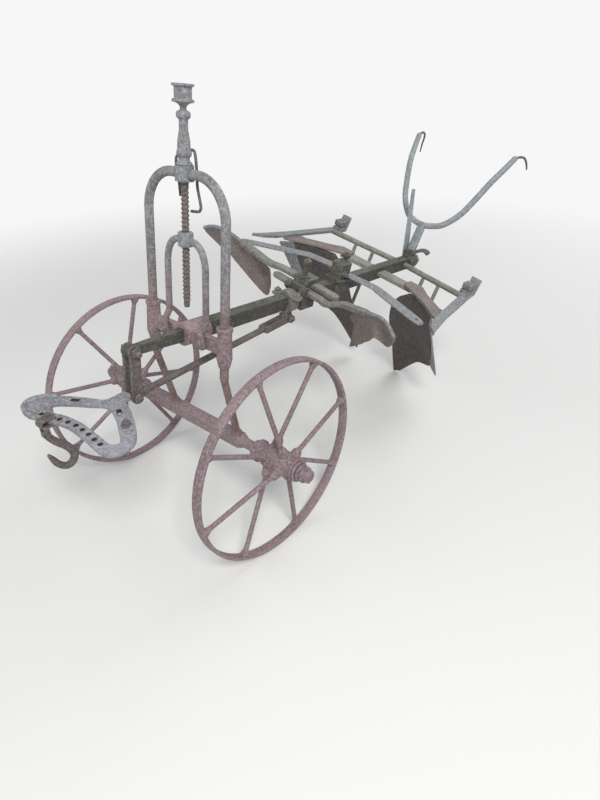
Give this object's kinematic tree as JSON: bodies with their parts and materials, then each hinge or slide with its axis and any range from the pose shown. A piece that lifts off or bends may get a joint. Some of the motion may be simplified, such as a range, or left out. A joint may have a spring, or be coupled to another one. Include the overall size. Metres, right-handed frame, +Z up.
{
  "type": "reversible moldboard plough",
  "caption": "Horse-drawn reversible moldboard plough with a two-wheeled forecarriage, screw-lifted saddle, half-turn beam, twin plough bodies and rear handles.",
  "frame": {"origin": "on the ground under the middle of the plough's bounding box", "axes": "+X forward along the direction of travel, +Y to the left across the axle, +Z up"},
  "size_m": [2.1704, 1.02, 1.333],
  "materials": {
    "rusty_iron": "rusted wrought iron, matt",
    "lichen_iron": "weathered iron with grey-green lichen",
    "grey_iron": "grey weathered steel, matt",
    "brown_plate": "brown weathered plough steel",
    "dark_plate": "dark brown-black weathered plate"
  },
  "bodies": {
    "forecarriage": {"axle": "rusty_iron", "arch": "lichen_iron"},
    "wheel_left": {"tyre_left": "rusty_iron", "hub_left": "rusty_iron"},
    "wheel_right": {"tyre_right": "rusty_iron", "hub_right": "rusty_iron"},
    "lift_screw": {"lift_screw": "rusty_iron", "screw_head": "rusty_iron"},
    "saddle": {"saddle": "rusty_iron", "forward_arm": "lichen_iron", "lift_bow": "rusty_iron", "front_links": "rusty_iron", "link_bolts": "rusty_iron", "regulator": "grey_iron", "hook_strap": "rusty_iron", "draw_rod": "rusty_iron", "swivel_collar": "rusty_iron"},
    "draft_hook": {"draft_hook": "rusty_iron"},
    "plough": {"beam": "lichen_iron", "tail_nut": "lichen_iron", "skim_clamp": "lichen_iron", "skim_left": "brown_plate", "skim_right": "brown_plate", "coulter_clamp": "lichen_iron", "coulter_left": "grey_iron", "coulter_right": "grey_iron", "front_standard": "lichen_iron", "rear_standard": "lichen_iron", "frog_left": "brown_plate", "frog_right": "brown_plate", "landside_left": "brown_plate", "landside_right": "brown_plate", "share_left": "brown_plate", "share_right": "brown_plate", "moldboard_left": "dark_plate", "moldboard_right": "dark_plate"},
    "handles": {"handle_swivel": "lichen_iron", "handle_fork": "grey_iron", "release_lever": "grey_iron"}
  },
  "joints": [
    {"name": "wheel_left_spin", "type": "hinge", "parent": "forecarriage", "child": "wheel_left", "pos_m": [0.5738, 0.382, 0.33], "axis": [0, 1, 0], "continuous": true},
    {"name": "wheel_right_spin", "type": "hinge", "parent": "forecarriage", "child": "wheel_right", "pos_m": [0.5738, -0.382, 0.33], "axis": [0, 1, 0], "continuous": true},
    {"name": "saddle_lift", "type": "slide", "parent": "forecarriage", "child": "saddle", "axis": [-0.1357, 0, 0.9907], "range_m": [0, 0.042]},
    {"name": "screw_turn", "type": "hinge", "parent": "forecarriage", "child": "lift_screw", "pos_m": [0.5978, 0.045, 0.667], "axis": [-0.1357, 0, 0.9907], "range_deg": [0, 1262]},
    {"name": "beam_turn", "type": "hinge", "parent": "saddle", "child": "plough", "pos_m": [0.5738, 0.045, 0.667], "axis": [0.9952, 0, 0.0976], "range_deg": [-78, 102]},
    {"name": "handle_turn", "type": "hinge", "parent": "plough", "child": "handles", "pos_m": [-0.68218, 0.045, 0.54385], "axis": [0.9952, 0, 0.0976], "range_deg": [-102, 78]},
    {"name": "hook_swing", "type": "hinge", "parent": "saddle", "child": "draft_hook", "pos_m": [1.0658, -0.035, 0.524], "axis": [0, 1, 0], "range_deg": [-80, 40]}
  ],
  "couplings": [
    {"joint": "screw_turn", "follows": "saddle_lift", "rad_per_m": 523.6}
  ]
}
